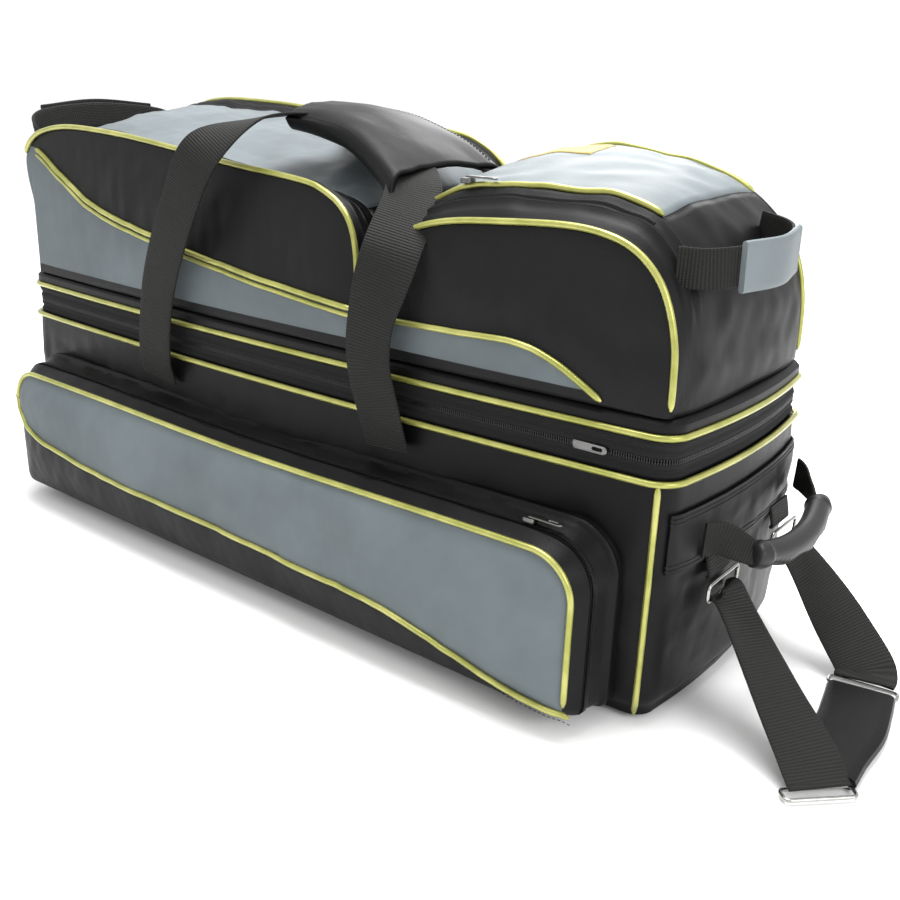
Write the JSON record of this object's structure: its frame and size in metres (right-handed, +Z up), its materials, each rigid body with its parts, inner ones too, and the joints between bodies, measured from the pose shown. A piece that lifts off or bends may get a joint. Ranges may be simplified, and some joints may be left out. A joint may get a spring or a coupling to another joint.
{
  "type": "rolling bowling bag",
  "caption": "Soft rolling bowling bag with a zipped ball compartment, hinged lid with two upper compartments, front pocket, carry handles, pull strap and wheels.",
  "frame": {"origin": "on the floor under the middle of the bag, on the underside of the centre skid rail", "axes": "+X along the length towards the pull-strap end, -Y towards the front pocket, +Z up"},
  "size_m": [1.0567, 0.3514, 0.467],
  "materials": {
    "black_nylon": "black twill nylon with a soft sheen",
    "slate_fabric": "slate grey coated nylon",
    "lining": "charcoal lining",
    "foam": "felt-covered foam",
    "piping": "metallic olive-gold piping",
    "webbing": "black ribbed webbing",
    "zip_tape": "black zip tape and coil",
    "moulded_plastic": "moulded black plastic",
    "skid_plastic": "hard black nylon skid",
    "tyre": "polyurethane tread",
    "hub": "grey moulded hub",
    "steel": "bright steel",
    "nickel": "polished nickel plate",
    "grip_rubber": "satin black grip"
  },
  "bodies": {
    "case": {"ball_compartment_shell": "black_nylon", "end_band": "black_nylon", "pocket_gusset": "black_nylon", "ball_divider_left": "lining", "ball_divider_right": "lining", "ball_cup_left": "foam", "ball_cup_middle": "foam", "ball_cup_right": "foam", "lower_piping": "piping", "ring_tab_front": "webbing", "ring_tab_rear": "webbing", "main_zip_lower_tape": "zip_tape", "base_tray": "moulded_plastic", "wheel_housing": "moulded_plastic", "skid_rail_front": "skid_plastic", "skid_rail_centre": "skid_plastic", "skid_rail_rear": "skid_plastic", "wheel_axle": "steel"},
    "lid": {"lid_floor_board": "black_nylon", "main_zip_upper_tape": "zip_tape", "upper_piping": "piping", "left_compartment_shell": "black_nylon", "right_compartment_shell": "black_nylon", "loop_handle_left_band": "webbing", "loop_handle_left_sleeve": "slate_fabric", "loop_handle_right_band": "webbing", "loop_handle_right_sleeve": "slate_fabric"},
    "left_flap": {"left_top_flap": "slate_fabric"},
    "right_flap": {"right_top_flap": "slate_fabric"},
    "front_handle": {"front_handle_strap": "webbing", "grip_wrap": "black_nylon"},
    "rear_handle": {"rear_handle_strap": "webbing"},
    "wheel_front": {"wheel_front_tyre": "tyre", "wheel_front_hub": "hub", "wheel_front_bearing": "steel"},
    "wheel_rear": {"wheel_rear_tyre": "tyre", "wheel_rear_hub": "hub", "wheel_rear_bearing": "steel"},
    "pocket_front": {"pocket_panel": "slate_fabric"},
    "end_handle": {"end_handle_webbing_front": "webbing", "end_handle_webbing_rear": "webbing", "end_handle_grip": "grip_rubber"},
    "pull_strap": {"pull_ring_front": "nickel", "pull_ring_rear": "nickel", "pull_strap_front": "webbing", "pull_strap_rear": "webbing", "pull_strap_pad": "grip_rubber", "pull_buckle_lower": "nickel", "pull_buckle_upper": "nickel"},
    "main_zip_slider": {"main_zip_slider": "nickel"},
    "main_zip_pull": {"main_zip_pull": "nickel"},
    "pocket_zip_slider": {"pocket_zip_slider": "nickel"},
    "pocket_zip_pull": {"pocket_zip_pull": "nickel"},
    "right_flap_zip_slider": {"right_flap_zip_slider": "nickel"},
    "right_flap_zip_pull": {"right_flap_zip_pull": "nickel"},
    "left_flap_zip_slider": {"left_flap_zip_slider": "nickel"},
    "left_flap_zip_pull": {"left_flap_zip_pull": "nickel"}
  },
  "joints": [
    {"name": "lid_hinge", "type": "hinge", "parent": "case", "child": "lid", "pos_m": [0, 0.136, 0.229], "axis": [-1, 0, 0], "range_deg": [0, 90]},
    {"name": "front_handle_swing", "type": "hinge", "parent": "case", "child": "front_handle", "pos_m": [0, -0.16, 0.214], "axis": [1, 0, 0], "range_deg": [0, 117]},
    {"name": "rear_handle_swing", "type": "hinge", "parent": "case", "child": "rear_handle", "pos_m": [0, 0.147, 0.214], "axis": [-1, 0, 0], "range_deg": [0, 135]},
    {"name": "left_flap_hinge", "type": "hinge", "parent": "lid", "child": "left_flap", "pos_m": [-0.112, 0, 0.4365], "axis": [0, 1, 0], "range_deg": [0, 80]},
    {"name": "right_flap_hinge", "type": "hinge", "parent": "lid", "child": "right_flap", "pos_m": [0.378, 0, 0.4305], "axis": [0, 1, 0], "range_deg": [0, 95]},
    {"name": "wheel_front_spin", "type": "hinge", "parent": "case", "child": "wheel_front", "pos_m": [-0.385, -0.1, 0.045], "axis": [0, 1, 0], "continuous": true},
    {"name": "wheel_rear_spin", "type": "hinge", "parent": "case", "child": "wheel_rear", "pos_m": [-0.385, 0.1, 0.045], "axis": [0, 1, 0], "continuous": true},
    {"name": "pocket_front_hinge", "type": "hinge", "parent": "case", "child": "pocket_front", "pos_m": [0, -0.201, 0.013], "axis": [1, 0, 0], "range_deg": [0, 30]},
    {"name": "end_handle_swing", "type": "hinge", "parent": "case", "child": "end_handle", "pos_m": [0.447, 0, 0.157], "axis": [0, -1, 0], "range_deg": [0, 45]},
    {"name": "pull_strap_swing", "type": "hinge", "parent": "case", "child": "pull_strap", "pos_m": [0.449, 0, 0.1194], "axis": [0, -1, 0], "range_deg": [0, 45]},
    {"name": "main_zip_slide", "type": "slide", "parent": "case", "child": "main_zip_slider", "axis": [-0.9974, -0.0715, 0], "range_m": [0, 0.12]},
    {"name": "main_zip_pull_hinge", "type": "hinge", "parent": "main_zip_slider", "child": "main_zip_pull", "pos_m": [0.345, -0.1339, 0.229], "axis": [0, 0, -1], "range_deg": [0, 150]},
    {"name": "pocket_zip_slide", "type": "slide", "parent": "case", "child": "pocket_zip_slider", "axis": [-1, 0, 0], "range_m": [0, 0.62]},
    {"name": "pocket_zip_pull_hinge", "type": "hinge", "parent": "pocket_zip_slider", "child": "pocket_zip_pull", "pos_m": [0.33, -0.166, 0.1734], "axis": [0, -1, 0], "range_deg": [0, 150]},
    {"name": "right_flap_zip_slide", "type": "slide", "parent": "lid", "child": "right_flap_zip_slider", "axis": [1, 0, 0], "range_m": [0, 0.14]},
    {"name": "right_flap_zip_pull_hinge", "type": "hinge", "parent": "right_flap_zip_slider", "child": "right_flap_zip_pull", "pos_m": [0.2, -0.0905, 0.4179], "axis": [0, -1, 0], "range_deg": [0, 150]},
    {"name": "left_flap_zip_slide", "type": "slide", "parent": "lid", "child": "left_flap_zip_slider", "axis": [1, 0, 0], "range_m": [0, 0.19]},
    {"name": "left_flap_zip_pull_hinge", "type": "hinge", "parent": "left_flap_zip_slider", "child": "left_flap_zip_pull", "pos_m": [-0.33, -0.0905, 0.4239], "axis": [0, -1, 0], "range_deg": [0, 150]}
  ],
  "couplings": [
    {"joint": "front_handle_swing", "follows": "lid_hinge", "ratio": 1.3},
    {"joint": "rear_handle_swing", "follows": "lid_hinge", "ratio": 1.5}
  ]
}
